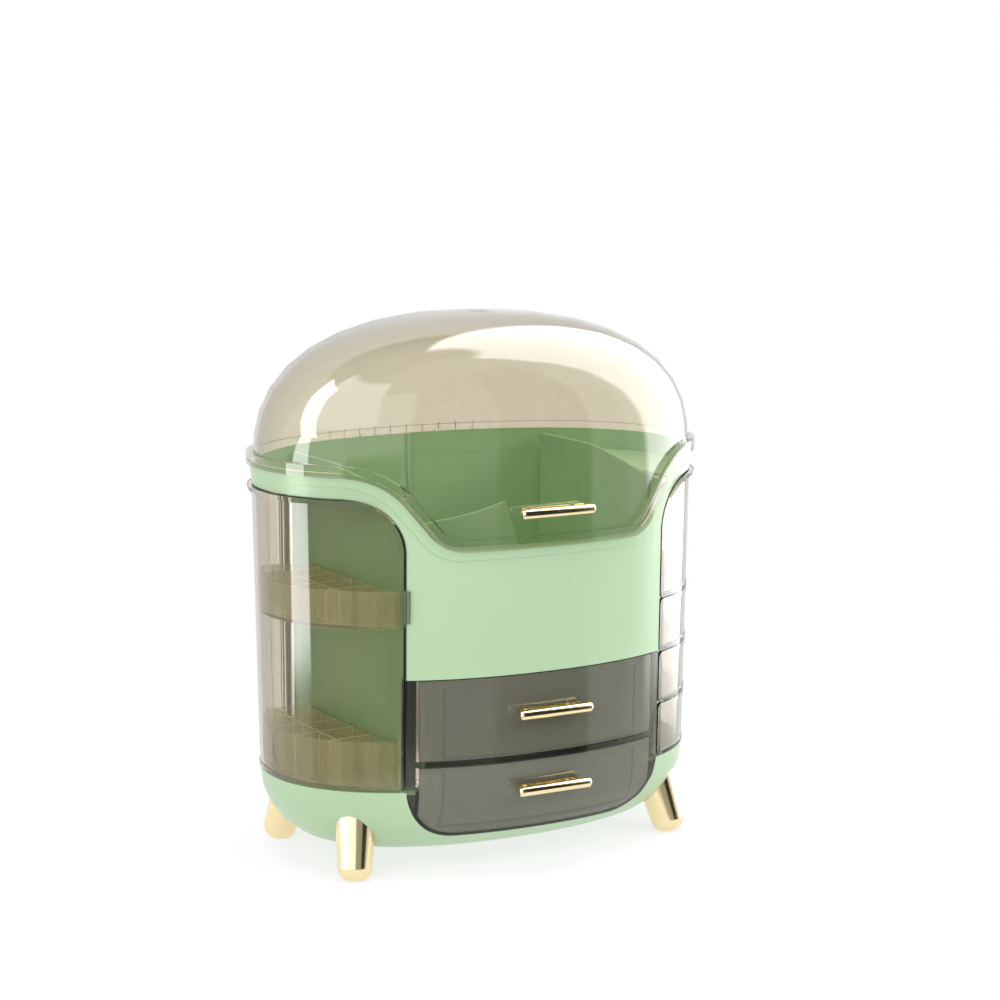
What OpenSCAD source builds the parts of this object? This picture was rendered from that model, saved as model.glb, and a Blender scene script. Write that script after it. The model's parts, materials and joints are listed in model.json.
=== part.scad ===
// Dustproof makeup organizer: a rounded cabinet on four splayed legs, with a domed
// clear lid, two smoked drawers, a clear side door that carries two racks, and a
// stack of four clear trays that swing out on one rod.
// Millimetres, +Z up, -Y is the front, +X is the right as seen from the front.
// The origin is on the ground, below the middle of all that the organizer fills with its
// pulls. The modules draw the cabinet about its own middle, and in_place() sets it back.

/* [Overall] */
// Width over the lid flange
width = 300; // [290:1:310]
// Depth over the lid flange
depth = 200; // [196:1:210]
// Height from the ground to the crown of the lid
height = 340; // [330:1:350]
// Shape of the plan outline, where 2 is an ellipse and more is squarer
squareness = 2.18; // [2.14:0.01:2.24]
// Lean of the cabinet wall, inwards per 100 of drop
draft = 1.5; // [0.5:0.1:2]

/* [Levels] */
// Top of the bowl-shaped base
base_top = 57; // [56:0.5:58]
// Underside of the base
base_bottom = 12; // [10:0.5:14]
// Bottom edge of the apron above the drawers
apron_bottom = 126.9; // [126.5:0.1:127.5]
// Top edge of the side door and of the top tray
door_top = 236.2; // [235.5:0.1:236.4]
// Top of the rim that the lid closes on
rim_top = 252.1; // [251.5:0.1:253]
// Floor of the middle well
well_floor_z = 130; // [130:0.5:140]

/* [Walls] */
// Wall of the green mouldings
green_wall = 2.4; // [2.2:0.1:2.6]
// Wall of the clear mouldings
clear_wall = 2.2; // [2:0.1:2.4]
// How far the cabinet wall stands back from the flange at the rim
flange_lip = 3.0; // [2.8:0.1:3.2]
// How far the bottom of the bowl draws in
bowl_reach = 45; // [42:1:47]
// Shape of the bowl, where 2 is an ellipse
bowl_roundness = 2.05; // [1.9:0.05:2.2]

/* [Saddle] */
// Depth of the dip in the front of the rim
saddle_depth = 45; // [43:0.5:46]
// Half width of the flat bottom of the dip
saddle_flat = 58; // [56:0.5:60]
// Steepest slope of the dip, in degrees
saddle_slope = 52; // [48:1:56]
// Radius at the bottom of the dip
saddle_low_r = 22; // [20:0.5:24]
// Radius at the top of the dip
saddle_high_r = 45; // [42:0.5:48]

/* [Lid] */
// Thickness of the lid flange
lid_flange = 4.4; // [4:0.1:4.8]
// How far the flange hangs down outside the rim
lid_skirt = 2.4; // [2:0.1:2.6]
// How far the lid wall stands back from the flange edge
lid_inset = 4.2; // [4:0.1:4.6]
// Roundness of the dome across the width
dome_round_x = 2.35; // [2.1:0.05:2.6]
// Roundness of the dome across the depth
dome_round_y = 2.9; // [2.5:0.05:3]
// Height of the lid hinge axis
lid_hinge_z = 247; // [246.8:0.1:247.2]

/* [Side door and trays] */
// Half width of the apron and of the drawer frame
apron_half = 89.8; // [89:0.1:90.5]
// Gap between the apron and the door or tray edge
door_gap = 0.8; // [0.7:0.1:1]
// Corner radius at the top front of the door and of the top tray
door_corner = 32; // [28:1:34]
// Width of the bead round the door edge
bead = 3; // [2.5:0.1:3.5]
// Hinge rod distance from the middle, across the width
hinge_x = 104; // [103:0.5:105]
// Hinge rod depth below the flange outline
hinge_inset = 11; // [10.8:0.1:11.2]
// Radius of the hinge rods
rod_r = 1.5; // [1.4:0.1:1.6]
// Upper edges of the three lower swing trays
tray_tops = [91.9, 125.7, 160.3];

/* [Drawers] */
// Half width of the drawer fronts
front_half = 82.6; // [82:0.1:83]
// Half width of the drawer boxes
box_half = 68.3; // [67.5:0.1:68.4]
// Middle of the rail between the drawers
rail_z = 74; // [73.5:0.1:74.5]
// Height of that rail
rail_h = 3.8; // [3.4:0.1:4.2]
// Lowest edge of the drawer frame
frame_bottom = 25.4; // [25.2:0.1:26]
// Radius of the lower corners of the drawer frame
frame_corner = 34; // [32:0.5:36]
// Thickness of the drawer frame
frame_thick = 6.4; // [6:0.1:6.8]

/* [Handles] */
// Length of the handle bars
bar_len = 51; // [48:1:54]
// Radius of the handle bars
bar_r = 3.1; // [2.8:0.1:3.4]
// Reach of the bar axis from the surface it is on
bar_reach = 8; // [7.5:0.5:9]
// Heights of the handles: lower drawer, upper drawer, lid
handle_z = [55, 103, 226.5];

/* [Legs] */
// Leg spacing on the ground, half width and half depth
leg_x = 113; // [112:0.5:114]
leg_y = 52.5; // [51:0.5:53.5]
// Radius of a leg near the ground
leg_r = 10.7; // [10.2:0.1:11]
// Radius of a leg where it meets the base
leg_top_r = 14; // [13.4:0.1:14.4]
// Lean of a leg from upright, in degrees
leg_lean = 20; // [18:0.5:21]
// Direction that a leg leans in, in degrees from the side towards the front or the rear
leg_turn = 60; // [56:1:62]

/* [Inside] */
// Outer face of the walls beside the door bay and the tray bay
bay_wall_x = 95; // [94:0.1:95.5]
// Grid pitch of the racks in the door
cell = 23; // [22:0.5:24]

/* [Hidden] */

mint = [0.72, 0.86, 0.70];
champagne = [0.93, 0.89, 0.80, 0.45];
smoke = [0.42, 0.41, 0.38, 0.75];
gold = [0.90, 0.78, 0.50];
steel = [0.75, 0.76, 0.78];
rubber = [0.20, 0.20, 0.20];

ring_n = 88;            // points round the plan outline
bowl_steps = 6;         // rings down the bowl
dome_steps = 9;         // rings up the dome

// Stretches of the outline, in degrees from the right-hand side: a form that is drawn for
// one stretch closes in the middle of the cabinet
WHOLE = [0, 360];
FRONT = [222, 318];
RIGHT = [-65, 50];
REAR = [20, 160];
REAR_RIGHT = [10, 80];

face_rear = -60;        // the drawer fronts and their frame end ahead of this depth
far = 400;              // reaches past the whole cabinet
slide_gap = 0.25;       // play between parts that slide or swing past each other
fine = 48;              // smoothness of the small round parts

saddle_low = rim_top - saddle_depth;
saddle_turn = saddle_low_r + saddle_high_r;
saddle_ramp = (saddle_depth - saddle_turn * (1 - cos(saddle_slope))) / sin(saddle_slope);
saddle_half = saddle_flat + saddle_turn * sin(saddle_slope) + saddle_ramp * cos(saddle_slope);

lid_gap = 0.4;
lid_z = rim_top + lid_gap;
inside_lid = lid_inset + clear_wall + 0.8;     // clears the lid wall where it hangs in the saddle
front_edge = apron_half + door_gap;
sleeve_half = box_half + 0.7 + 2;
shelf_z = door_top + 0.9;
shelf_h = 1.8;
rim_bottom = door_top + door_gap;
lip_h = 8;              // height of the raised lip along the rim and the saddle
lip_step = 0.5;         // how far that lip stands out

// ---- plan outline and walls ----

// Distance that the cabinet wall stands back from the flange outline at a height
function wall_inset(z) = flange_lip + draft * (rim_top - z) / 100;

// Further draw-in of the bowl below base_top, for a bowl whose bottom is at low
function bowl_inset(z, low) =
    let (t = min(1, (base_top - z) / (base_top - low)))
    bowl_reach * (1 - pow(1 - pow(t, bowl_roundness), 1 / bowl_roundness));

function signed_power(v, p) = (v < 0 ? -1 : 1) * pow(abs(v), p);

// One ring of the plan outline with half axes a and b, at height z
function ring(z, a, b, stretch = WHOLE) =
    let (step = 360 / ring_n, whole = stretch == WHOLE,
        from = ceil(stretch[0] / step), to = floor(stretch[1] / step) - (whole ? 1 : 0))
    concat([for (i = [from:to]) let (t = i * step)
        [a * signed_power(cos(t), 2 / squareness), b * signed_power(sin(t), 2 / squareness), z]],
        whole ? [] : [[0, 0, z]]);

function inset_ring(z, inset, stretch = WHOLE) = ring(z, width / 2 - inset, depth / 2 - inset, stretch);

function flat_ring(inset) = [for (p = inset_ring(0, inset)) [p.x, p.y]];

// Depth of the outline at x, on the ring drawn in by inset
function outline_y(x, inset) = (depth / 2 - inset)
    * pow(1 - pow(abs(x) / (width / 2 - inset), squareness), 1 / squareness);

// Points of an arc about [x, z]
function arc(x, z, r, from, to, steps) = [for (i = [0:steps])
    let (a = from + (to - from) * i / steps) [x + r * cos(a), z + r * sin(a)]];

// Closed skin through a stack of rings, lowest first
module loft(rings) {
    n = len(rings[0]);
    last = (len(rings) - 1) * n;
    polyhedron(
        points = [for (r = rings) each r],
        faces = concat(
            [[for (i = [0:n - 1]) i]],
            [for (k = [0:len(rings) - 2], i = [0:n - 1], half = [0, 1])
                let (a = k * n + i, b = k * n + (i + 1) % n)
                half == 0 ? [a, a + n, b + n] : [a, b + n, b]],
            [[for (i = [n - 1:-1:0]) last + i]]));
}

// The drafted cabinet wall between two heights, drawn in by inset
module wall_form(inset, stretch = WHOLE, z_low = base_top - 1, z_high = rim_top + 1)
    loft([for (z = [z_low, z_high]) inset_ring(z, wall_inset(z) + inset, stretch)]);

// The bowl with the wall above it, drawn in by inset on every side
module body_form(inset, stretch, z_high) {
    low = base_bottom + inset;
    bowl_zs = [for (k = [bowl_steps:-1:1]) base_top - (base_top - low) * sin(90 * k / bowl_steps)];
    loft(concat(
        [for (z = bowl_zs)
            inset_ring(z, wall_inset(base_top) + inset + bowl_inset(z, low), stretch)],
        [inset_ring(base_top, wall_inset(base_top) + inset, stretch)],
        z_high > base_top ? [inset_ring(z_high, wall_inset(z_high) + inset, stretch)] : []));
}

// Upright plate of the plan outline, drawn in by inset
module outline_plate(z, h, inset)
    translate([0, 0, z]) linear_extrude(h) polygon(flat_ring(inset));

// Extrudes an [x, z] shape along Y, from y_front to y_rear
module along_y(y_front, y_rear)
    translate([0, y_rear, 0]) rotate([90, 0, 0]) linear_extrude(y_rear - y_front) children();

// Sets a sub-part back, so that the lid pull and the rear are equally far from the origin
module in_place() translate([0, (lid_surface + bar_reach + bar_r - depth / 2) / 2, 0]) children();

module both_sides() {
    children();
    mirror([1, 0, 0]) children();
}

// ---- saddle line of the rim and the lid ----

// Right half of the saddle line, moved up by rise square to itself
function saddle_side(rise) = concat(
    arc(saddle_flat, saddle_low + saddle_low_r, saddle_low_r - rise, 270, 270 + saddle_slope, 8),
    arc(saddle_half, rim_top - saddle_high_r, saddle_high_r + rise, 90 + saddle_slope, 90, 10),
    [[far, rim_top + rise]]);

function saddle_line(rise) = concat(
    [for (i = [len(saddle_side(rise)) - 1:-1:0]) [-saddle_side(rise)[i].x, saddle_side(rise)[i].y]],
    saddle_side(rise));

module above_saddle(rise, z_high)
    polygon(concat(saddle_line(rise), [[far, z_high], [-far, z_high]]));

module below_saddle(rise, z_low)
    polygon(concat(saddle_line(rise), [[far, z_low], [-far, z_low]]));

// Everything above the saddle line in the front half and above the rim in the rear half
module above_rim(rise) {
    along_y(-depth, 0) above_saddle(rise, height + 20);
    translate([-far, -0.01, rim_top + rise]) cube([2 * far, depth, height]);
}

// ---- hinge places on the right-hand side ----

hinge_y = outline_y(hinge_x, hinge_inset);
hinge_slope = atan2(pow(hinge_y, squareness - 1) / pow(depth / 2 - hinge_inset, squareness),
    pow(hinge_x, squareness - 1) / pow(width / 2 - hinge_inset, squareness));
barrel_r = 4.4;
rear_reach = 10.2;      // where the rear shell begins, beyond the rod
bead_stop = 11;         // where the bead ends, before the rod
bead_step = 0.5;        // how far the bead stands out of the wall
barrel_lift = 0.4;      // lower end of a barrel above the lower edge of its panel

// Frame at the right hinge rod: X runs along the wall towards the rear, Y points outwards
module at_hinge() translate([hinge_x, hinge_y, 0]) rotate(hinge_slope - 90) mirror([1, 0, 0]) children();

// ---- side door and trays, drawn on the right ----

// Front view of a side panel, drawn in by inset
function panel_outline(z_low, z_high, r_low, r_high, inset) = concat(
    arc(front_edge + r_low, z_low + r_low, r_low - inset, 270, 180, 5),
    arc(front_edge + r_high, z_high - r_high, r_high - inset, 180, 90, 12),
    [[far, z_high - inset], [far, z_low + inset]]);

// The space of a side panel, from its front edge round to the hinge
module panel_space(z_low, z_high, r_low, r_high, inset = 0, stop = 0) difference() {
    union() {
        along_y(-depth, 0) polygon(panel_outline(z_low, z_high, r_low, r_high, inset));
        translate([front_edge, -0.01, z_low + inset])
            cube([far, depth, z_high - z_low - 2 * inset]);
    }
    at_hinge() translate([-stop, -far / 2, 0]) cube([far, far, far]);
}

// Curved clear wall with a bead round its edge and a hinge barrel at its rear. The children
// are what stays solid inside the wall.
module side_panel(z_low, z_high, r_low, r_high) {
    barrel_low = z_low + barrel_lift;
    barrel_h = z_high - barrel_low - 0.15;
    difference() {
        union() {
            difference() {
                union() {
                    intersection() {
                        wall_form(0, RIGHT);
                        panel_space(z_low, z_high, r_low, r_high);
                    }
                    intersection() {
                        bead_form();
                        difference() {
                            panel_space(z_low, z_high, r_low, r_high, 0, bead_stop);
                            panel_space(z_low, z_high, r_low, r_high, bead, bead_stop + bead);
                        }
                    }
                }
                difference() {
                    wall_form(clear_wall, RIGHT);
                    at_hinge() translate([-barrel_r, 0, barrel_low]) cube([2 * barrel_r, far, barrel_h]);
                    children();
                }
            }
            at_hinge() translate([0, 0, barrel_low]) cylinder(h = barrel_h, r = barrel_r, $fn = fine);
        }
        at_hinge() translate([0, 0, z_low - 1]) cylinder(h = far, r = rod_r + 0.05, $fn = fine);
    }
}

// The bead flares out at the top, where it becomes the flange
module bead_form()
    loft([for (z = [base_top - 1, door_top - 12]) inset_ring(z, wall_inset(z) - bead_step, RIGHT),
        for (z = [door_top, rim_top]) inset_ring(z, 0.2, RIGHT)]);

// ---- root: base, legs and deck ----

// Shape of the drawer frame from the front, drawn in by inset
function frame_outline(inset, z_high) =
    let (mid_x = apron_half - frame_corner, mid_z = frame_bottom + frame_corner, r = frame_corner - inset)
    concat([[-apron_half + inset, z_high], [apron_half - inset, z_high]],
        arc(mid_x, mid_z, r, 0, -90, 10), arc(-mid_x, mid_z, r, 270, 180, 10));

// A leg stands on its own slanted axis: Z runs up the axis, which meets the ground a little
// outside the flat that the leg rests on
module on_leg(side, end) translate([side * leg_x, end * leg_y, 0])
    rotate(atan2(end * sin(leg_turn), side * cos(leg_turn)))
        translate([leg_toe, 0, 0]) rotate([0, -leg_lean, 0]) children();

leg_h = 52;
leg_round = 8;
leg_toe = 5;
leg_screw_r = 2;
pad_r = 4.6;
pad_h = 1.2;

// Turned metal leg, trimmed to the bowl, with a recess for its pad
module leg(side, end) scale([side, end, 1]) difference() {
    on_leg(1, 1) rotate_extrude($fn = fine)
        polygon(concat([[0, leg_h]], [[leg_top_r, leg_h]],
            arc(leg_r - leg_round, leg_round, leg_round, 0, -90, 8), [[0, 0]]));
    body_form(0, REAR_RIGHT, base_top);
    translate([0, 0, -far]) cube([far, far, far + 0.5]);
    translate([leg_x, leg_y, -1]) cylinder(h = 1 + pad_h, r = pad_r, $fn = fine);
    on_leg(1, 1) translate([0, 0, 14]) cylinder(h = leg_h, r = leg_screw_r, $fn = fine);
}

module leg_front_left() color(gold) in_place() leg(-1, -1);
module leg_front_right() color(gold) in_place() leg(1, -1);
module leg_rear_left() color(gold) in_place() leg(-1, 1);
module leg_rear_right() color(gold) in_place() leg(1, 1);

module each_leg() for (side = [-1, 1], end = [-1, 1]) {
    $side = side;
    $end = end;
    children();
}

module leg_pads() color(rubber) in_place() each_leg()
    translate([$side * leg_x, $end * leg_y, 0]) cylinder(h = pad_h, r = pad_r, $fn = fine);

boss_top = 49;

// Pan-head screws that hold the legs from inside the bowl
module leg_screws() color(steel) in_place() each_leg() on_leg($side, $end) {
    translate([0, 0, 22]) cylinder(h = boss_top - 21, r = leg_screw_r, $fn = fine);
    translate([0, 0, boss_top]) cylinder(h = 2.4, r = 4, $fn = fine);
}

// Bowl with four bosses inside that take the leg screws
module base_tub() color(mint) in_place() difference() {
    body_form(0, WHOLE, base_top);
    difference() {
        body_form(green_wall, WHOLE, base_top + 5);
        each_leg() on_leg($side, $end) translate([0, 0, 16])
            cylinder(h = boss_top - 16, r = 8, $fn = fine);
    }
    along_y(-depth, face_rear) polygon(frame_outline(-slide_gap, far));
    each_leg() on_leg($side, $end) cylinder(h = far, r = leg_screw_r + 0.2, $fn = fine);
}

deck_h = 2.4;
inside_bowl = wall_inset(base_top) + green_wall + 0.4;

// Plate that closes the bowl under the door bay and the tray bay
module base_deck() color(mint) in_place() {
    difference() {
        outline_plate(base_top - deck_h, deck_h, inside_bowl);
        translate([-sleeve_half, -depth, 0]) cube([2 * sleeve_half, depth + sleeve_rear, far]);
        difference() {
            translate([-apron_half - slide_gap, -depth, 0])
                cube([2 * (apron_half + slide_gap), 0.8 * depth, far]);
            outline_plate(0, far, wall_inset(base_top) + frame_thick + 0.5);
        }
        both_sides() at_hinge() cylinder(h = far, r = rod_r + 0.02, $fn = fine);
    }
    difference() {
        intersection() {
            both_sides() at_hinge() translate([0, 0, rod_low])
                cylinder(h = base_top - deck_h - rod_low, r = 4, $fn = fine);
            outline_plate(rod_low, far, inside_bowl + bowl_inset(rod_low, base_bottom));
        }
        both_sides() at_hinge() translate([0, 0, rod_low + 1.5])
            cylinder(h = far, r = rod_r + 0.02, $fn = fine);
    }
}

// ---- root: drawer housing ----

sleeve_front = -62;
sleeve_rear = 64;
sleeve_low = 30.7;
sleeve_wall = 2;

// Box with two storeys that the drawers run in, open at the front
module drawer_sleeve() color(mint) in_place() difference() {
    translate([-sleeve_half, sleeve_front, sleeve_low])
        cube([2 * sleeve_half, sleeve_rear - sleeve_front, well_floor_z - sleeve_low]);
    for (z = [[sleeve_low + sleeve_wall, lower_front[1]],
            [upper_front[0] - slide_gap, well_floor_z - sleeve_wall]])
        translate([-sleeve_half + sleeve_wall, sleeve_front - 1, z[0]])
            cube([2 * (sleeve_half - sleeve_wall), sleeve_rear - sleeve_front - 1, z[1] - z[0]]);
}

front_thick = 3;
web = 2;
frame_top = apron_bottom - 0.4;
lower_front = [frame_bottom + 2, rail_z - rail_h / 2 - slide_gap];
upper_front = [rail_z + rail_h / 2 + slide_gap, apron_bottom - 0.7];

// Front view of a drawer front between two heights, grown by play
module front_shape(levels, play) intersection() {
    polygon(frame_outline(2 - play, far));
    translate([-front_half - play, levels[0] - play])
        square([2 * (front_half + play), levels[1] - levels[0] + 2 * play]);
}

lower_box = [sleeve_low + sleeve_wall + slide_gap, 68];
upper_box = [upper_front[0], 121];

// Clear surround of the drawer fronts, with a web behind them that stops the drawers
module drawer_frame() color(champagne) in_place() difference() {
    intersection() {
        body_form(0, FRONT, well_floor_z);
        along_y(-depth, face_rear) polygon(frame_outline(0, frame_top));
    }
    body_form(frame_thick, FRONT, well_floor_z + 1);
    difference() {
        along_y(-depth, face_rear) {
            front_shape(lower_front, slide_gap);
            front_shape([upper_front[0], upper_front[1] + 5], slide_gap);
        }
        body_form(frame_thick - web, FRONT, well_floor_z + 1);
    }
    for (z = [lower_box, upper_box])
        translate([-box_half - 0.5, -depth, z[0] - 0.5])
            cube([2 * box_half + 1, depth, z[1] - z[0] + 1]);
}

// ---- root: walls, shelves and rim ----

// Section of the room inside the cabinet wall and behind the drawer frame, for an upright
// wall whose outer face is at x_front near the front and at x_rear near the rear
module wall_section(x_front, x_rear) translate([-far, 0, 0]) rotate([90, 0, 90])
    linear_extrude(2 * far) polygon(concat(
        [for (z = [base_top, shelf_z]) [outline_y(x_rear, wall_inset(z) + green_wall + 0.1), z]],
        [for (z = [shelf_z, apron_bottom])
            [-outline_y(x_front, max(inside_lid, wall_inset(z) + green_wall + 0.1)), z]],
        [for (z = [apron_bottom, base_top])
            [-outline_y(x_front, wall_inset(z) + frame_thick + 0.3), z]]));

// Wall beside a bay: it turns in at the front, behind the edge of the door or the trays
module bay_wall() intersection() {
    wall_section(apron_half - 0.6, bay_wall_x);
    linear_extrude(far)
        polygon([[bay_wall_x, far], [bay_wall_x, turn_y], [apron_half - 0.6, turn_y - 13],
            [apron_half - 0.6, -far], [apron_half - 2.6, -far], [apron_half - 2.6, turn_y - 12],
            [bay_wall_x - 2, turn_y - 0.4], [bay_wall_x - 2, far]]);
}

module left_bay_wall() color(mint) in_place() mirror([1, 0, 0]) bay_wall();
module right_bay_wall() color(mint) in_place() bay_wall();

turn_y = -60;

// Rib inside the rear wall, in the middle of the well
module rear_rib(z_low, z_high) difference() {
    intersection() {
        wall_form(green_wall - 0.2, [45, 135]);
        translate([0.3, 0, z_low]) cube([2.4, far, z_high - z_low]);
    }
    wall_form(green_wall + 2, [45, 135]);
}

// Rear wall of the cabinet between the two hinge rods
module rear_shell() color(mint) in_place() {
    difference() {
        wall_form(0, REAR, base_top, rim_bottom);
        wall_form(green_wall, [0, 180], base_top - 1, rim_bottom + 1);
        both_sides() at_hinge() translate([rear_reach - far, -far / 2, 0]) cube([far, far, far]);
    }
    rear_rib(well_floor_z + 2, rim_bottom);
}

// What the side door and the top tray leave of the front of the rim and apron
module rim_front(rise, z_low) difference() {
    below_saddle(rise, z_low);
    for (side = [-1, 1]) scale([side, 1])
        polygon(panel_outline(-far, door_top, door_corner, door_corner, -door_gap));
}

knuckle_x = 28;         // middle of each lid hinge
knuckle_w = 10;
knuckle_r = 2.4;
lid_hinge_y = depth / 2 - knuckle_r;
pin_r = 1.25;
boss_w = 8;

module at_lid_hinge() for (side = [-1, 1])
    translate([side * knuckle_x, lid_hinge_y, lid_hinge_z]) rotate([0, 90, 0]) children();

// Rim and apron in one moulding, with the bosses of the lid hinge
module top_rim() color(mint) in_place() difference() {
    union() {
        rear_rib(rim_bottom, rim_top);
        difference() {
            union() {
                intersection() {
                    wall_form(0);
                    union() {
                        along_y(-depth, 0) rim_front(0, apron_bottom);
                        translate([-far, -0.01, rim_bottom])
                            cube([2 * far, depth, rim_top - rim_bottom]);
                    }
                }
                intersection() {
                    wall_form(-lip_step);
                    union() {
                        along_y(-depth, 0) difference() {
                            below_saddle(0, 0);
                            below_saddle(-lip_h, 0);
                        }
                        translate([-far, -0.01, rim_top - lip_h]) cube([2 * far, depth, lip_h]);
                    }
                }
            }
            wall_form(green_wall);
        }
        for (side = [-1, 1], end = [-1, 1])
            translate([side * knuckle_x + end * (knuckle_w + 1 + boss_w) / 2, lid_hinge_y, lid_hinge_z]) {
                rotate([0, 90, 0]) cylinder(h = boss_w, r = knuckle_r, center = true, $fn = fine);
                translate([-boss_w / 2, -3.6, -knuckle_r]) cube([boss_w, 3.6, 2 * knuckle_r]);
            }
    }
    for (side = [-1, 1])
        translate([side * knuckle_x, lid_hinge_y - knuckle_r - 0.3, lid_hinge_z - knuckle_r - 0.5])
            translate([-knuckle_w / 2 - 0.5, 0, 0]) cube([knuckle_w + 1, 20, 20]);
    at_lid_hinge() cylinder(h = knuckle_w + 2 * boss_w + 2, r = pin_r + 0.02, center = true, $fn = fine);
}

module lid_hinge_pins() color(steel) in_place()
    at_lid_hinge() cylinder(h = knuckle_w + 2 * boss_w, r = pin_r, center = true, $fn = fine);

// Shelf beside the well, over the door bay or the tray bay
module shelf() difference() {
    outline_plate(shelf_z, shelf_h, wall_inset(shelf_z) + green_wall);
    translate([-far, -far, 0]) cube([far + bay_wall_x - 2, 2 * far, far]);
    difference() {
        translate([0, -depth, 0]) cube([saddle_half - 20, depth, far]);
        outline_plate(0, far, inside_lid);
    }
    at_hinge() cylinder(h = far, r = rod_r + 0.02, $fn = fine);
}

module left_shelf() color(mint) in_place() mirror([1, 0, 0]) shelf();
module right_shelf() color(mint) in_place() shelf();

// Right half of the plan of the room between the bay walls, from the front to the rear
well_side = [[apron_half - 2.6, -far], [apron_half - 2.6, turn_y - 11.6], [bay_wall_x - 2, turn_y],
    [bay_wall_x - 2, far]];

module well_floor() color(mint) in_place() intersection() {
    outline_plate(well_floor_z, 2, wall_inset(well_floor_z) + green_wall + 0.1);
    linear_extrude(far) polygon(concat(well_side,
        [for (i = [len(well_side) - 1:-1:0]) [-well_side[i].x, well_side[i].y]]));
}

divider_t = 1.8;

// Upright plate along a side of the well, whose top edge falls in a wave towards the front
module wave_plate(z_rear, drop) {
    rear = outline_y(bay_wall_x - 2, wall_inset(well_floor_z) + green_wall + 0.1);
    front = turn_y + 0.4;
    steps = 16;
    translate([bay_wall_x - 2 - divider_t, 0, 0]) rotate([90, 0, 90]) linear_extrude(divider_t)
        polygon(concat([[rear, well_floor_z + 2]],
            [for (i = [0:steps]) let (y = rear + (front - rear) * i / steps)
                [y, z_rear - drop * (1 - cos(180 * max(0, min(1, (20 - y) / 100)))) / 2]],
            [[front, well_floor_z + 2]]));
}

module tall_divider() color(mint) in_place() wave_plate(rim_top - 3, 13);
module side_divider() color(mint) in_place() mirror([1, 0, 0]) wave_plate(rim_top - 3, 13);

low_divider_y = -30;
low_divider_z = [213, 223];
low_divider_end = [4, 14];

// Low plate across the left of the well: its top edge swells towards the free end
module low_divider() color(mint) in_place() {
    left = divider_t + 2 - bay_wall_x;
    steps = 12;
    translate([0, low_divider_y, 0]) rotate([90, 0, 0]) linear_extrude(divider_t)
        polygon(concat([[left, well_floor_z + 2]],
            [for (i = [0:steps]) let (t = i / steps)
                [left + (low_divider_end[0] - left) * t,
                    low_divider_z[0] + (low_divider_z[1] - low_divider_z[0]) * pow(t, 3)]],
            [[low_divider_end[1] - 2, low_divider_z[1] - 23], [low_divider_end[1], low_divider_z[1] - 40],
                [low_divider_end[1], well_floor_z + 2]]));
}

// ---- root: hinge rods ----

rod_low = base_top - 8;

module rod() at_hinge() translate([0, 0, rod_low + 1.5])
    cylinder(h = shelf_z + 1 - rod_low - 1.5, r = rod_r, $fn = fine);

module door_rod() color(steel) in_place() mirror([1, 0, 0]) rod();
module tray_rod() color(steel) in_place() rod();

tray_gap = 0.5;
washer_h = 1;
tray_levels = concat([base_top + 0.4], tray_tops, [door_top + tray_gap / 2]);

function tray_low(i) = tray_levels[i] + tray_gap / 2;
function tray_high(i) = tray_levels[i + 1] - tray_gap / 2;

module washer(barrel_low) at_hinge() translate([0, 0, barrel_low - washer_h - 0.025]) difference() {
    cylinder(h = washer_h, r = rod_r + 1, $fn = fine);
    translate([0, 0, -1]) cylinder(h = 3, r = rod_r + 0.02, $fn = fine);
}

// Slip washers under the door barrel and under each tray barrel
module tray_washers() color(rubber) in_place() {
    for (i = [0:3]) washer(tray_low(i) + barrel_lift);
    mirror([1, 0, 0]) washer(tray_low(0) + barrel_lift);
}

// ---- swing trays on the right ----

tray_wall = 1.8;
bay_rear = 48;          // rear end of the trays and racks, ahead of the hinge rod
tray_inner_x = bay_wall_x + 2;

// Plan of a tray or a rack, drawn in by inset from its inner, front and rear walls
module tray_plan(inset) polygon([[far, bay_rear - inset], [tray_inner_x + inset, bay_rear - inset],
    [tray_inner_x + inset, turn_y + 2], [front_edge + 2 + inset, -74.5 + inset], [far, -74.5 + inset]]);

// A tray with its own piece of the curved side wall; only the top one has the big corner
module swing_tray(i) {
    z_low = tray_low(i);
    z_high = tray_high(i);
    is_top = i == 3;
    basin_h = is_top ? 30 : z_high - z_low - 2;
    side_panel(z_low, z_high, 4, is_top ? door_corner : 4) difference() {
        translate([0, 0, z_low]) linear_extrude(basin_h) tray_plan(0);
        translate([0, 0, z_low + tray_wall]) linear_extrude(far) tray_plan(tray_wall);
    }
}

module swing_tray_1() color(champagne) in_place() swing_tray(0);
module swing_tray_2() color(champagne) in_place() swing_tray(1);
module swing_tray_3() color(champagne) in_place() swing_tray(2);
module swing_tray_4() color(champagne) in_place() swing_tray(3);

// ---- side door on the left, drawn on the right and mirrored ----

module door_shell() color(champagne) in_place() mirror([1, 0, 0])
    side_panel(tray_low(0), door_top, 4, door_corner);

pull_z = [162, 182];
pull_reach = 1;          // how far the tab laps over the apron

// Finger tab on the front edge of the door, lapping over the apron
module door_pull() color(champagne) in_place() mirror([1, 0, 0]) intersection() {
    difference() {
        wall_form(-2.2, RIGHT);
        wall_form(-bead_step, RIGHT);
    }
    translate([front_edge - door_gap - pull_reach, -depth, pull_z[0]])
        cube([pull_reach + door_gap + 1.6, depth, pull_z[1] - pull_z[0]]);
}

rack_wall = 1.6;
upper_rack_z = [158, 181];      // floor and top
lower_rack_z = [58.2, 88];

// Open rack of the door
module rack(levels) color(champagne) in_place() mirror([1, 0, 0]) difference() {
    intersection() {
        wall_form(clear_wall, RIGHT);
        translate([0, 0, levels[0]]) linear_extrude(levels[1] - levels[0]) tray_plan(0);
    }
    intersection() {
        wall_form(clear_wall + rack_wall, RIGHT);
        translate([0, 0, levels[0] + rack_wall]) linear_extrude(far) tray_plan(rack_wall);
    }
}

grid_wall = 1.2;

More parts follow.
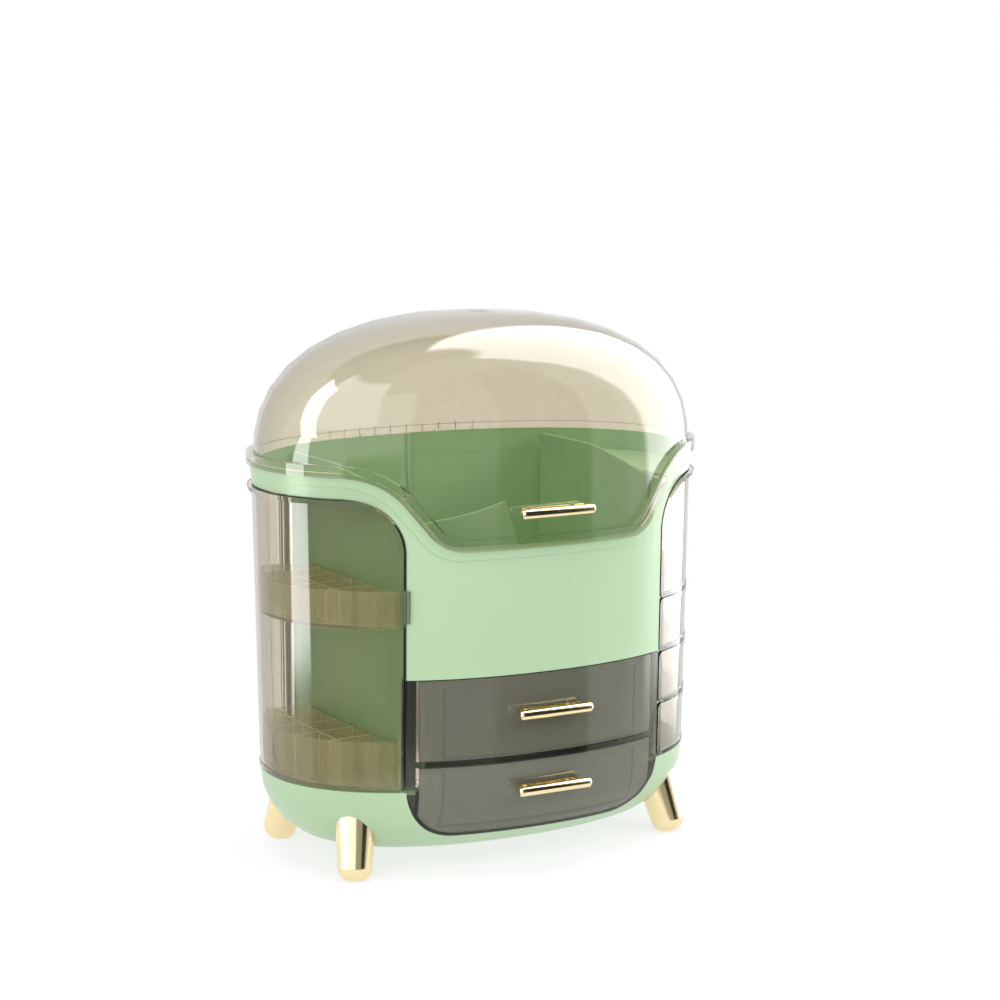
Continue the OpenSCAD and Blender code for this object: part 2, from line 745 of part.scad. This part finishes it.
// Lattice that stands in a rack and holds lipsticks upright
module rack_grid(levels) color(champagne) in_place() mirror([1, 0, 0]) intersection() {
    wall_form(clear_wall + rack_wall, RIGHT);
    translate([0, 0, levels[0] + rack_wall]) linear_extrude(levels[1] - levels[0] - rack_wall)
        intersection() {
            tray_plan(rack_wall);
            union() {
                translate([tray_inner_x + rack_wall + cell - grid_wall, -far])
                    square([grid_wall, 2 * far]);
                for (k = [1:4]) translate([0, bay_rear - rack_wall - k * cell])
                    square([far, grid_wall]);
            }
        }
}

module upper_rack() rack(upper_rack_z);
module upper_rack_grid() rack_grid(upper_rack_z);
module lower_rack() rack(lower_rack_z);
module lower_rack_grid() rack_grid(lower_rack_z);

// ---- pulls ----

post_x = 15;
post_r = 2.4;
screw_r = 1.5;
head_r = 2.8;

// Bar on two posts over a slim plate that is seated on the surface behind it
module pull(z, surface_y) {
    end_r = bar_r * 0.6;
    bar_y = -surface_y - bar_reach;
    translate([-bar_len / 2, bar_y, z]) rotate([0, 90, 0]) rotate_extrude($fn = fine)
        polygon(concat([[0, 0]], arc(bar_r - end_r, end_r, end_r, -90, 0, 5),
            arc(bar_r - end_r, bar_len - end_r, end_r, 0, 90, 5), [[0, bar_len]]));
    for (side = [-1, 1]) translate([side * post_x, bar_y, z]) rotate([-90, 0, 0]) difference() {
        cylinder(h = bar_reach - 0.8, r = post_r, $fn = fine);
        translate([0, 0, bar_r + 0.2]) cylinder(h = bar_reach, r = screw_r - 0.25, $fn = fine);
    }
}

// Plate of a pull, trimmed to the surface that the children give, with its two screw holes
module pull_plate(z, surface_y) difference() {
    translate([-bar_len / 2 + 4, -surface_y - 1.8, z - 2.6]) cube([bar_len - 8, 4, 5.2]);
    children();
    for (side = [-1, 1]) translate([side * post_x, -surface_y - 3, z]) rotate([-90, 0, 0])
        cylinder(h = far, r = screw_r - 0.25, $fn = fine);
}

// Depth at which the screw heads of a pull sit, a little inside the wall
function head_seat(surface_y, wall) = -outline_y(post_x, depth / 2 - surface_y) + wall - 0.2;

// Screws of a pull, with the heads inside
module pull_screws(z, surface_y, wall) color(steel) in_place() for (side = [-1, 1]) {
    tip = -surface_y - bar_reach + bar_r + 0.4;
    seat = head_seat(surface_y, wall);
    translate([side * post_x, 0, z]) rotate([-90, 0, 0]) {
        translate([0, 0, tip]) cylinder(h = seat - tip + 1, r = screw_r - 0.25, $fn = fine);
        translate([0, 0, seat]) cylinder(h = 1.8, r = head_r, $fn = fine);
    }
}

// Screw holes of a pull, with a flat seat for each head
module pull_holes(z, surface_y, wall) for (side = [-1, 1])
    translate([side * post_x, 0, z]) rotate([-90, 0, 0]) {
        translate([0, 0, -depth]) cylinder(h = depth, r = screw_r, $fn = fine);
        translate([0, 0, head_seat(surface_y, wall) - 0.02]) cylinder(h = 8, r = head_r + 0.2, $fn = fine);
    }

// ---- drawers ----

front_play = 0.2;
drawer_rear = 56;
box_wall = 1.8;
upper_surface = depth / 2 - wall_inset(handle_z[1]) - front_play;
lower_surface = depth / 2 - wall_inset(handle_z[0]) - front_play;

// Floor, sides and rear wall of a drawer box, open at the top
module box_walls(box, y_front) difference() {
    translate([-box_half, y_front, box[0]])
        cube([2 * box_half, drawer_rear - y_front, box[1] - box[0]]);
    translate([-box_half + box_wall, y_front - 1, box[0] + box_wall])
        cube([2 * (box_half - box_wall), drawer_rear - box_wall - y_front + 1, far]);
}

// Front and box in one moulding: the front follows the wall and the bowl of the cabinet
module drawer(box, front, z, surface_y) color(smoke) in_place() {
    difference() {
        intersection() {
            body_form(front_play, FRONT, well_floor_z);
            along_y(-depth, face_rear) front_shape(front, 0);
        }
        difference() {
            body_form(front_play + front_thick, FRONT, well_floor_z + 1);
            box_walls(box, -depth);
        }
        pull_holes(z, surface_y, front_thick);
    }
    box_walls(box, face_rear - 0.01);
}

// Upright plate along the middle of a drawer
module drawer_divider(box, h, y_front) color(smoke) in_place()
    translate([-0.7, y_front, box[0] + box_wall])
        cube([1.4, drawer_rear - box_wall - y_front, h]);

module upper_drawer() drawer(upper_box, upper_front, handle_z[1], upper_surface);
module upper_drawer_divider() drawer_divider(upper_box, 28.7, -60);
module upper_drawer_handle() color(gold) in_place() {
    pull(handle_z[1], upper_surface);
    pull_plate(handle_z[1], upper_surface) wall_form(front_play, FRONT);
}
module upper_handle_screws() pull_screws(handle_z[1], upper_surface, front_thick);

module lower_drawer() drawer(lower_box, lower_front, handle_z[0], lower_surface);
module lower_drawer_divider() drawer_divider(lower_box, 30, -76);
module lower_drawer_handle() color(gold) in_place() {
    pull(handle_z[0], lower_surface);
    pull_plate(handle_z[0], lower_surface) body_form(front_play, FRONT, well_floor_z);
}
module lower_handle_screws() pull_screws(handle_z[0], lower_surface, front_thick);

// ---- lid ----

// Domed lid drawn in by inset: upright below the rim, then a dome to the crown
module lid_form(inset) {
    crown = height - inset;
    a = width / 2 - lid_inset - inset;
    b = depth / 2 - lid_inset - inset;
    steep = 88;
    zs = [for (k = [1:dome_steps]) sin(steep * k / dome_steps) / sin(steep)];
    loft(concat([ring(saddle_low - 5, a, b), ring(rim_top, a, b)],
        [for (k = [0:dome_steps - 1]) let (t = zs[k] * sin(steep))
            ring(rim_top + (crown - rim_top) * zs[k],
                a * pow(1 - pow(t, dome_round_x), 1 / dome_round_x),
                b * pow(1 - pow(t, dome_round_y), 1 / dome_round_y))]));
}

// Edge of the flange that hangs outside the lip of the rim, open round the hinge bosses
module lid_skirt_form() difference() {
    intersection() {
        difference() {
            outline_plate(saddle_low - 5, height, 0);
            outline_plate(saddle_low - 6, height, flange_lip - lip_step - 0.4);
        }
        difference() {
            above_rim(-lid_skirt);
            above_rim(lid_gap + 0.1);
        }
    }
    for (side = [-1, 1]) translate([side * knuckle_x - knuckle_w / 2 - boss_w - 2, 0, 0])
        cube([knuckle_w + 2 * boss_w + 4, far, lid_z]);
}

// Clear dome with the flange that follows the saddle, ribs inside the rear rim and two knuckles
module lid_dome() color(champagne) in_place() difference() {
    union() {
        intersection() {
            difference() {
                lid_form(0);
                lid_form(clear_wall);
            }
            above_rim(lid_gap);
        }
        intersection() {
            difference() {
                outline_plate(saddle_low - 5, height, 0);
                outline_plate(saddle_low - 6, height, lid_inset + 1);
            }
            difference() {
                above_rim(lid_gap);
                above_rim(lid_gap + lid_flange);
            }
        }
        lid_skirt_form();
        for (k = [-5:5]) translate([k * 12 - 0.5, outline_y(k * 12, lid_inset + clear_wall) - 1, lid_z])
            cube([1, 1.6, 6]);
        at_lid_hinge() cylinder(h = knuckle_w, r = knuckle_r, center = true, $fn = fine);
        for (side = [-1, 1])
            translate([side * knuckle_x - knuckle_w / 2, lid_hinge_y - knuckle_r, lid_hinge_z])
                cube([knuckle_w, 4.5, lid_z + 1 - lid_hinge_z]);
    }
    at_lid_hinge() cylinder(h = knuckle_w + 2, r = pin_r + 0.05, center = true, $fn = fine);
    pull_holes(handle_z[2], lid_surface, clear_wall);
}

lid_surface = depth / 2 - lid_inset;

module lid_handle() color(gold) in_place() {
    pull(handle_z[2], lid_surface);
    pull_plate(handle_z[2], lid_surface) outline_plate(saddle_low - 5, far, lid_inset);
}
module lid_handle_screws() pull_screws(handle_z[2], lid_surface, clear_wall);

base_tub();
base_deck();
leg_front_left();
leg_front_right();
leg_rear_left();
leg_rear_right();
leg_pads();
leg_screws();
drawer_sleeve();
drawer_frame();
left_bay_wall();
right_bay_wall();
rear_shell();
top_rim();
left_shelf();
right_shelf();
well_floor();
tall_divider();
side_divider();
low_divider();
door_rod();
tray_rod();
tray_washers();
lid_hinge_pins();
lid_dome();
lid_handle();
lid_handle_screws();
upper_drawer();
upper_drawer_divider();
upper_drawer_handle();
upper_handle_screws();
lower_drawer();
lower_drawer_divider();
lower_drawer_handle();
lower_handle_screws();
door_shell();
door_pull();
upper_rack();
upper_rack_grid();
lower_rack();
lower_rack_grid();
swing_tray_1();
swing_tray_2();
swing_tray_3();
swing_tray_4();
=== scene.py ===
import json
import math
from collections import namedtuple

import bpy
from mathutils import Matrix, Vector


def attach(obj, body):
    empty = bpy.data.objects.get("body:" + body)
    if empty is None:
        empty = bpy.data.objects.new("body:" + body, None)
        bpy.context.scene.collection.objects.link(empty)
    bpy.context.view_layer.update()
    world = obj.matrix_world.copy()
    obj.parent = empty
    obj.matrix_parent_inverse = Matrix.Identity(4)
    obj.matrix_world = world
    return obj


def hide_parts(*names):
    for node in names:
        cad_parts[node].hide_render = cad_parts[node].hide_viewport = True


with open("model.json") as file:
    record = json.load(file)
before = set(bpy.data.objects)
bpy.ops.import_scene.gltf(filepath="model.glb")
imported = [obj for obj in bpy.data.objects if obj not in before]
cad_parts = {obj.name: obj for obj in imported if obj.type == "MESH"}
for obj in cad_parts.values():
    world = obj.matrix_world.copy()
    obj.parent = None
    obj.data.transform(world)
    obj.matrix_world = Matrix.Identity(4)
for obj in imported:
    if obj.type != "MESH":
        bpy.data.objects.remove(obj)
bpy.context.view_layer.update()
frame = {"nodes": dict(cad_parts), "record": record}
bpy.ops.object.select_all(action="DESELECT")

BODY_OF = {node: body for body, nodes in frame["record"]["behaviour"]["bodies"].items() for node in nodes}
SLOT_OF = {part["node"]: part["material_slot"] for part in frame["record"]["subparts"]}

# How a solid's facets become smooth walls with broken edges, in metres and degrees
MERGE_DISTANCE = 0.000004   # points closer than this become one
FLAT_ANGLE = 0.4            # facets that turn less than this become one flat face
SMOOTH_ANGLE = 32           # faces that turn less than this shade as one curved wall
EDGE_ANGLE = 38             # edges sharper than this are broken
EDGE_WIDTH = 0.0005


def srgb(r, g, b):
    """A display colour, 0 to 255, as the linear colour that a shader takes."""
    shares = (r / 255, g / 255, b / 255)
    return tuple(c / 12.92 if c <= 0.04045 else ((c + 0.055) / 1.055) ** 2.4 for c in shares) + (1,)


# ---- nodes that the finishes share ----

def add_node(tree, kind, values=None, **settings):
    """A node with its settings, and with constants on the sockets that values names."""
    node = tree.nodes.new(kind)
    for key, setting in settings.items():
        setattr(node, key, setting)
    for socket, value in (values or {}).items():
        node.inputs[socket].default_value = value
    return node


def new_finish(name):
    """An empty material, with its node tree and its output node."""
    finish = bpy.data.materials.new(name)
    finish.use_nodes = True
    finish.node_tree.nodes.clear()
    return finish, finish.node_tree, add_node(finish.node_tree, "ShaderNodeOutputMaterial")


def object_noise(tree, scale, detail):
    """The value of a noise that is fixed to the object."""
    place = add_node(tree, "ShaderNodeTexCoord")
    noise = add_node(tree, "ShaderNodeTexNoise", {"Scale": scale, "Detail": detail})
    tree.links.new(place.outputs["Object"], noise.inputs["Vector"])
    return noise.outputs["Fac"]


# The unevenness of a surface: scale and detail of its noise, height in metres and strength of its bump
Waves = namedtuple("Waves", "scale detail height strength")

WALL_WAVES = Waves(14, 1, 0.0004, 0.01)
MOULD_GRAIN = Waves(900, 2, 0.00004, 0.25)
TURNING_MARKS = Waves(60, 3, 0.0001, 0.08)
STEEL_GRAIN = Waves(400, 2, 0.00005, 0.15)
RUBBER_GRAIN = Waves(700, 3, 0.0001, 0.3)
NYLON_GRAIN = Waves(500, 3, 0.0001, 0.3)


def add_waves(tree, shader, waves):
    """Gives a shader the unevenness of its surface."""
    bump = add_node(tree, "ShaderNodeBump", {"Strength": waves.strength, "Distance": waves.height})
    tree.links.new(object_noise(tree, waves.scale, waves.detail), bump.inputs["Height"])
    tree.links.new(bump.outputs["Normal"], shader.inputs["Normal"])


# ---- finishes ----

def moulded_mint():
    """Satin green plastic: a little deeper in places, with the faint grain of the mould."""
    finish, tree, out = new_finish("moulded_mint")
    shader = add_node(tree, "ShaderNodeBsdfPrincipled", {"IOR": 1.5})
    cloud = object_noise(tree, 9, 3)
    shades = add_node(tree, "ShaderNodeValToRGB")
    deep, pale = shades.color_ramp.elements
    deep.position = 0.3
    deep.color = srgb(171, 199, 161)
    pale.position = 0.7
    pale.color = srgb(177, 204, 167)
    satin = add_node(tree, "ShaderNodeMapRange", {"To Min": 0.30, "To Max": 0.38})
    tree.links.new(cloud, shades.inputs["Fac"])
    tree.links.new(cloud, satin.inputs["Value"])
    tree.links.new(shades.outputs["Color"], shader.inputs["Base Color"])
    tree.links.new(satin.outputs["Result"], shader.inputs["Roughness"])
    add_waves(tree, shader, MOULD_GRAIN)
    tree.links.new(shader.outputs["BSDF"], out.inputs["Surface"])
    return finish


def see_through(name, tint, slant_shade, lamp_tint, index=1.49, haze=0.0, waves=WALL_WAVES, roughness=0.0):
    """Clear tinted plastic, with painted shade: darker where the eye looks along the wall, to draw the dark
    outlines of its edges. It bends what is behind it and lets lamps light what it holds."""
    finish, tree, out = new_finish(name)
    shader = add_node(tree, "ShaderNodeBsdfPrincipled",
                      {"Transmission Weight": 1.0 - haze, "Roughness": roughness, "IOR": index})
    if waves:
        add_waves(tree, shader, waves)
    # Painted shade: the wall's colour goes over to a darker one where the eye looks along it, drawing dark
    # outlines
    slant = add_node(tree, "ShaderNodeLayerWeight", {"Blend": 0.5})
    depth = add_node(tree, "ShaderNodeMapRange", {"From Min": 0.3, "From Max": 1.15},
                     interpolation_type="SMOOTHSTEP")
    colour = add_node(tree, "ShaderNodeMix", {"A": tint, "B": slant_shade}, data_type="RGBA")
    tree.links.new(slant.outputs["Facing"], depth.inputs["Value"])
    tree.links.new(depth.outputs["Result"], colour.inputs["Factor"])
    tree.links.new(colour.outputs["Result"], shader.inputs["Base Color"])
    opening = add_node(tree, "ShaderNodeBsdfTransparent", {"Color": lamp_tint})
    rays = add_node(tree, "ShaderNodeLightPath")
    mix = add_node(tree, "ShaderNodeMixShader")
    tree.links.new(rays.outputs["Is Shadow Ray"], mix.inputs["Fac"])
    tree.links.new(shader.outputs["BSDF"], mix.inputs[1])
    tree.links.new(opening.outputs["BSDF"], mix.inputs[2])
    tree.links.new(mix.outputs["Shader"], out.inputs["Surface"])
    return finish


def plain_finish(name, colour, roughness, waves, metallic=0.0):
    """Plastic, rubber or metal of one colour, with the grain or the tool marks of its making."""
    finish, tree, out = new_finish(name)
    shader = add_node(tree, "ShaderNodeBsdfPrincipled",
                      {"Base Color": colour, "Roughness": roughness, "Metallic": metallic})
    add_waves(tree, shader, waves)
    tree.links.new(shader.outputs["BSDF"], out.inputs["Surface"])
    return finish


CLEAR_TINT = srgb(234, 228, 213)
# Painted shade that the clear walls take where they are seen at a slant
CLEAR_SLANT_SHADE = srgb(120, 122, 108)

FINISHES = {
    "mint": moulded_mint(),
    "clear": see_through("clear_champagne", CLEAR_TINT, CLEAR_SLANT_SHADE, srgb(218, 236, 218)),
    "smoke": see_through("smoked_clear", srgb(190, 191, 170), srgb(60, 60, 54), srgb(170, 170, 160),
                         haze=0.2, waves=None),
    "gold": plain_finish("polished_gold", srgb(246, 228, 182), 0.16, TURNING_MARKS, metallic=1.0),
    "steel": plain_finish("bright_steel", srgb(214, 214, 216), 0.28, STEEL_GRAIN, metallic=1.0),
    "rubber": plain_finish("pad_rubber", srgb(62, 60, 58), 0.75, RUBBER_GRAIN),
    "nylon": plain_finish("washer_nylon", srgb(226, 224, 218), 0.45, NYLON_GRAIN),
}

# Pieces whose finish differs a little from that of their slot: the lid, which lets more light in,
# and the thin lattice of the racks, seen nearly straight through
LID = see_through("clear_lid", CLEAR_TINT, CLEAR_SLANT_SHADE, srgb(240, 250, 240))
LATTICE = see_through("clear_lattice", srgb(250, 240, 222), srgb(230, 212, 184), srgb(252, 250, 246),
                      index=1.12, haze=0.2, waves=None)
OWN_FINISH = {"lid_dome": LID, "upper_rack": LATTICE, "upper_rack_grid": LATTICE,
              "lower_rack": LATTICE, "lower_rack_grid": LATTICE}

# The broken edges of the see-through pieces, where the wall is seen end on. On the clear and smoked walls
# their dark finishes are painted shade, which draws the dark outlines of the edges
EDGE_SHADE_FINISHES = {
    "clear": see_through("clear_edge_shade", srgb(128, 138, 114), srgb(76, 84, 66), srgb(150, 150, 140),
                         haze=0.45, waves=None, roughness=0.3),
    "smoke": see_through("smoked_edge_shade", srgb(58, 58, 50), srgb(30, 30, 26), srgb(120, 120, 112),
                         haze=0.7, waves=None, roughness=0.35),
}
LATTICE_EDGE = see_through("lattice_edge", srgb(250, 238, 212), srgb(236, 222, 192), srgb(250, 246, 240),
                           index=1.12, haze=1.0, waves=None, roughness=0.3)


# ---- pieces carried over from the solids ----

def select_only(piece):
    """Selects one object alone and makes it the active one."""
    bpy.ops.object.select_all(action="DESELECT")
    piece.select_set(True)
    bpy.context.view_layer.objects.active = piece


def free_copy(node):
    """A copy of a solid with its own mesh, free of its parent and its marks."""
    solid = frame["nodes"][node]
    piece = solid.copy()
    piece.data = solid.data.copy()
    piece.name = node + "_skin"
    for key in list(piece.keys()):
        del piece[key]
    piece.parent = None
    bpy.context.scene.collection.objects.link(piece)
    return piece


def merge_facets(piece):
    """Joins a copied solid's loose triangles and makes the flat ones single faces."""
    select_only(piece)
    if piece.data.has_custom_normals:
        bpy.ops.mesh.customdata_custom_splitnormals_clear()
    bpy.ops.object.mode_set(mode="EDIT")
    bpy.ops.mesh.select_all(action="SELECT")
    bpy.ops.mesh.remove_doubles(threshold=MERGE_DISTANCE)
    bpy.ops.mesh.dissolve_limited(angle_limit=math.radians(FLAT_ANGLE))
    bpy.ops.object.mode_set(mode="OBJECT")


def finish_skin(piece, node):
    """Puts a piece's finish on it and, after it, that of its cut edges if it has one, which on the clear and
    smoked walls is painted shade.
    """
    slot = SLOT_OF[node]
    finish = OWN_FINISH.get(node, FINISHES[slot])
    piece.data.materials.clear()
    piece.data.materials.append(finish)
    if slot in EDGE_SHADE_FINISHES:
        piece.data.materials.append(LATTICE_EDGE if finish == LATTICE else EDGE_SHADE_FINISHES[slot])


def smooth_and_break_edges(piece):
    """Smooth walls and narrow broken edges, which take the last of the piece's finishes."""
    select_only(piece)
    bpy.ops.object.shade_smooth_by_angle(angle=math.radians(SMOOTH_ANGLE))
    bevel = piece.modifiers.new("broken_edges", "BEVEL")
    bevel.width = EDGE_WIDTH
    bevel.segments = 2
    bevel.limit_method = "ANGLE"
    bevel.angle_limit = math.radians(EDGE_ANGLE)
    bevel.miter_outer = "MITER_ARC"
    bevel.harden_normals = True
    bevel.material = len(piece.data.materials) - 1
    bpy.ops.object.modifier_apply(modifier=bevel.name)


def skin_of(node):
    """The visible piece that takes a solid's place, with the same shape and smooth walls."""
    piece = free_copy(node)
    merge_facets(piece)
    finish_skin(piece, node)
    smooth_and_break_edges(piece)
    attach(piece, BODY_OF[node])
    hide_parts(node)


# ---- floor ----

FLOOR_RADIUS = 6
FLOOR_COLOUR = (0.93, 0.93, 0.93, 1)
SHADOW_FADE = (0.1, 0.5)        # from here to here the floor goes over from its shadow to plain white
WHITE_UNDER_OBJECT = 0.72       # how much of it is plain white already before the fade
MIRROR_GAP = (0.30, 0.36)       # past here mirrors see the studio below the floor instead of it


def studio_floor():
    """White floor that takes the shadow near the object and runs out into plain white."""
    bpy.ops.object.select_all(action="DESELECT")
    bpy.ops.mesh.primitive_circle_add(vertices=96, radius=FLOOR_RADIUS, fill_type="NGON", location=(0, 0, 0))
    floor = bpy.context.object
    floor.name = "studio_floor"
    finish, tree, out = new_finish("floor_white")
    place = add_node(tree, "ShaderNodeTexCoord")
    reach = add_node(tree, "ShaderNodeVectorMath", operation="LENGTH")
    fade = add_node(tree, "ShaderNodeMapRange", {"From Min": SHADOW_FADE[0], "From Max": SHADOW_FADE[1],
                                                 "To Min": WHITE_UNDER_OBJECT})
    matt = add_node(tree, "ShaderNodeBsdfDiffuse", {"Color": FLOOR_COLOUR})
    white = add_node(tree, "ShaderNodeEmission", {"Strength": 1.0})
    shown = add_node(tree, "ShaderNodeMixShader")
    tree.links.new(place.outputs["Object"], reach.inputs[0])
    tree.links.new(reach.outputs["Value"], fade.inputs["Value"])
    tree.links.new(fade.outputs["Result"], shown.inputs["Fac"])
    tree.links.new(matt.outputs["BSDF"], shown.inputs[1])
    tree.links.new(white.outputs["Emission"], shown.inputs[2])
    gap = add_node(tree, "ShaderNodeMapRange", {"From Min": MIRROR_GAP[0], "From Max": MIRROR_GAP[1]})
    rays = add_node(tree, "ShaderNodeLightPath")
    unseen = add_node(tree, "ShaderNodeMath", operation="MULTIPLY")
    opening = add_node(tree, "ShaderNodeBsdfTransparent")
    surface = add_node(tree, "ShaderNodeMixShader")
    tree.links.new(reach.outputs["Value"], gap.inputs["Value"])
    tree.links.new(gap.outputs["Result"], unseen.inputs[0])
    tree.links.new(rays.outputs["Is Glossy Ray"], unseen.inputs[1])
    tree.links.new(unseen.outputs["Value"], surface.inputs["Fac"])
    tree.links.new(shown.outputs["Shader"], surface.inputs[1])
    tree.links.new(opening.outputs["BSDF"], surface.inputs[2])
    tree.links.new(surface.outputs["Shader"], out.inputs["Surface"])
    floor.data.materials.append(finish)


# ---- what surrounds the object ----

# A patch of the studio, in degrees: the azimuths of its two sides at eye level, their leans in degrees
# for each degree of elevation, the elevations of its bottom and top, the softness of its edges and
# its brightness. Azimuth 0 is the front, 90 the right and -90 the left.
Patch = namedtuple("Patch", "sides leans heights softness brightness")

# What mirrors and gloss see; each patch covers those before it, and what none covers is white
STUDIO = [
    Patch((-180, 180), (0, 0), (50, 95), 3, 0.08),            # dark ceiling at the rear
    Patch((-75, 75), (0, 0), (50, 95), 14, 0.45),             # lighter ceiling over the front
    Patch((-132, -25), (0, 0), (0, 50), 4, 1.5),              # white wall on the left
    Patch((-96, -25), (0, 0), (-45, 0), 3, 0.25),             # dim floor in front of it
    Patch((-22, 14), (0, 0), (-34, 58), 3, 0.35),             # grey cloth in front
    Patch((14, 44), (0, 0), (-34, 58), 2, 0.02),              # black cloth to the right of it
    Patch((44, 60), (0, 0), (-34, 50), 2, 0.7),               # pale wall beside the soft box
    Patch((-93, -60), (0, 0), (-10, 24), 1, 1.8),             # lower part of the window on the left
    Patch((-90, -37), (-0.6, -0.25), (20, 64), 2.5, 3.6),     # its upper part, which leans to the rear
    Patch((-112, -94.5), (0.4, 0), (-13.8, 15), 0.8, 10.5),   # lower part of the strip lamp on the left
    Patch((-97, -82), (-0.8, -0.55), (13, 53), 0.8, 13.0),    # its upper part
    Patch((70, 122), (-0.2, 0.5), (-13.2, 74), 2.5, 7.0),     # large soft box on the right
]


def studio_world(level, inner_level, inner_gloss):
    """White all round for the camera and for what is seen through clear walls, the studio for
    mirrors and gloss, and plain soft light at the level for the rest, or at the inner level
    for what stands behind clear walls. There the studio is no brighter than the inner gloss."""
    world = bpy.data.worlds.new("studio_world")
    bpy.context.scene.world = world
    world.use_nodes = True
    world.cycles.sampling_method = "NONE"
    tree = world.node_tree
    tree.nodes.clear()

    def calc(operation, *terms):
        node = add_node(tree, "ShaderNodeMath", operation=operation)
        for socket, term in zip(node.inputs, terms):
            if isinstance(term, (int, float)):
                socket.default_value = term
            else:
                tree.links.new(term, socket)
        return node.outputs["Value"]

    def between(choice, low, high):
        return calc("MULTIPLY_ADD", choice, calc("SUBTRACT", high, low), low)

    def soft_step(value, start, end):
        node = add_node(tree, "ShaderNodeMapRange", {"From Min": start, "From Max": end},
                        interpolation_type="SMOOTHSTEP")
        tree.links.new(value, node.inputs["Value"])
        return node.outputs["Result"]

    place = add_node(tree, "ShaderNodeTexCoord")
    split = add_node(tree, "ShaderNodeSeparateXYZ")
    tree.links.new(place.outputs["Generated"], split.inputs["Vector"])
    front = calc("MULTIPLY", split.outputs["Y"], -1)
    azimuth = calc("DEGREES", calc("ARCTAN2", split.outputs["X"], front))
    elevation = calc("DEGREES", calc("ARCSINE", split.outputs["Z"]))

    gloss = 1.0
    for patch in STUDIO:
        soft = patch.softness
        bottom, top = patch.heights
        inside = calc("MULTIPLY", soft_step(elevation, bottom - soft, bottom + soft),
                      soft_step(elevation, top + soft, top - soft))
        if patch.sides[1] - patch.sides[0] < 360:   # a patch that goes all round has no sides
            for side, lean, inwards in zip(patch.sides, patch.leans, (soft, -soft)):
                upright = calc("MULTIPLY_ADD", elevation, -lean, azimuth)
                inside = calc("MULTIPLY", inside, soft_step(upright, side - inwards, side + inwards))
        gloss = between(inside, gloss, patch.brightness)

    # A ray's depths count the bounces of each kind before it, so 0.5 parts none from one or more
    rays = add_node(tree, "ShaderNodeLightPath")
    passed = rays.outputs["Is Transmission Ray"]
    mirrored = calc("GREATER_THAN", rays.outputs["Glossy Depth"], 0.5)
    outside = calc("LESS_THAN", rays.outputs["Transmission Depth"], 0.5)
    not_matt = calc("LESS_THAN", rays.outputs["Diffuse Depth"], 0.5)
    plain = between(not_matt, between(passed, level, inner_level), 1)
    studio = between(outside, calc("MINIMUM", gloss, inner_gloss), gloss)
    strength = between(calc("MULTIPLY", mirrored, not_matt), plain, studio)
    sky = add_node(tree, "ShaderNodeBackground", {"Color": (1, 1, 1, 1)})
    out = add_node(tree, "ShaderNodeOutputWorld")
    tree.links.new(strength, sky.inputs["Strength"])
    tree.links.new(sky.outputs["Background"], out.inputs["Surface"])


# ---- lamps and camera ----

# The name, place, target, width, height and power of each lamp, in metres and watts
LAMPS = [
    ("lamp_left", (-1.3, -0.9, 0.9), (0, 0, 0.17), 0.9, 0.9, 9),
    ("lamp_right", (1.2, -1.3, 1.1), (0, 0, 0.17), 0.9, 0.9, 12),
    ("lamp_top", (0, -0.1, 1.6), (0, 0, 0.2), 1.4, 1.0, 17),
]

CAMERA_PLACE = (-0.7836, -1.40875, 0.4689)
CAMERA_AZIMUTH = 29.03       # to the right of straight ahead
CAMERA_FALL = 10.49          # below level
CAMERA_LENS = 92.36
CAMERA_SHIFT = (0.0251, 0.0767)
LIGHT_BOUNCES = 24           # enough for a look through the lid, the door and what they hold


def soft_lamp(name, place, target, width, tall, power):
    """A rectangular lamp at a place, turned to a target, that mirrors and clear walls don't show."""
    lamp = bpy.data.lights.new(name, "AREA")
    lamp.shape = "RECTANGLE"
    lamp.size = width
    lamp.size_y = tall
    lamp.energy = power
    holder = bpy.data.objects.new(name, lamp)
    holder.location = place
    aim = Vector(target) - Vector(place)
    holder.rotation_euler = aim.to_track_quat("-Z", "Y").to_euler()
    holder.visible_glossy = holder.visible_transmission = False
    bpy.context.scene.collection.objects.link(holder)


def studio_camera():
    """A long lens a little above the object, from the front left."""
    view = bpy.data.cameras.new("camera")
    view.sensor_width = 36
    view.lens = CAMERA_LENS
    view.shift_x, view.shift_y = CAMERA_SHIFT
    view.clip_start, view.clip_end = 0.05, 50
    camera = bpy.data.objects.new("camera", view)
    azimuth = math.radians(CAMERA_AZIMUTH)
    fall = math.radians(CAMERA_FALL)
    level = math.cos(fall)
    forward = Vector((math.sin(azimuth) * level, math.cos(azimuth) * level, -math.sin(fall)))
    side = forward.cross(Vector((0, 0, 1))).normalized()
    up = side.cross(forward)
    turn = Matrix((side, up, -forward)).transposed().to_4x4()
    camera.matrix_world = Matrix.Translation(CAMERA_PLACE) @ turn
    bpy.context.scene.collection.objects.link(camera)
    bpy.context.scene.camera = camera


# ---- the object in its studio ----

for node in sorted(frame["nodes"]):
    skin_of(node)

studio_floor()
studio_world(level=0.72, inner_level=0.66, inner_gloss=1.0)
for lamp in LAMPS:
    soft_lamp(*lamp)
studio_camera()

cycles = bpy.context.scene.cycles
cycles.max_bounces = cycles.transmission_bounces = cycles.transparent_max_bounces = LIGHT_BOUNCES
bpy.context.scene.view_settings.view_transform = "Standard"
